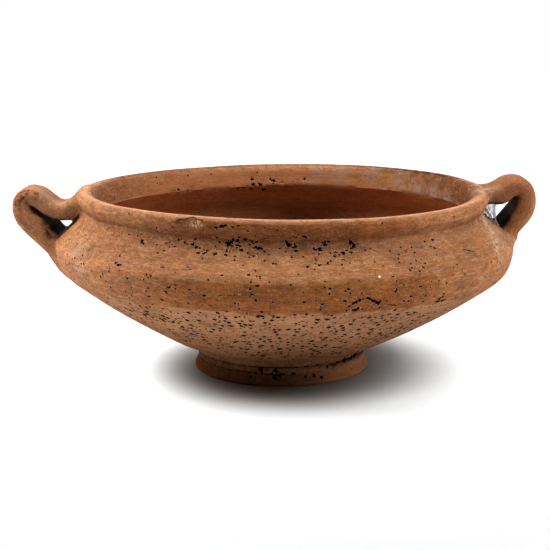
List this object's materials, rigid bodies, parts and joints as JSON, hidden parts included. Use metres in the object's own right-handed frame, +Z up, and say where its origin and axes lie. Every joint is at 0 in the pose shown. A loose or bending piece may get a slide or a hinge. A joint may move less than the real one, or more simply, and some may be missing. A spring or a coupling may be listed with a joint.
{
  "type": "biconical bowl",
  "caption": "Ancient earthenware bowl with a sharply angled belly, an overhung lip, a ring foot and looped strap handles.",
  "frame": {"origin": "on the ground under the middle of the overall width across the handles", "axes": "+Z up, X along the two handles with the higher handle at +X, +Y away from the side that the picture shows"},
  "size_m": [0.2975, 0.2614, 0.1113],
  "materials": {
    "earthenware": "unglazed, wet-smoothed orange-brown clay with open pits, matt"
  },
  "bodies": {
    "root": {"bowl": "earthenware"}
  },
  "joints": []
}
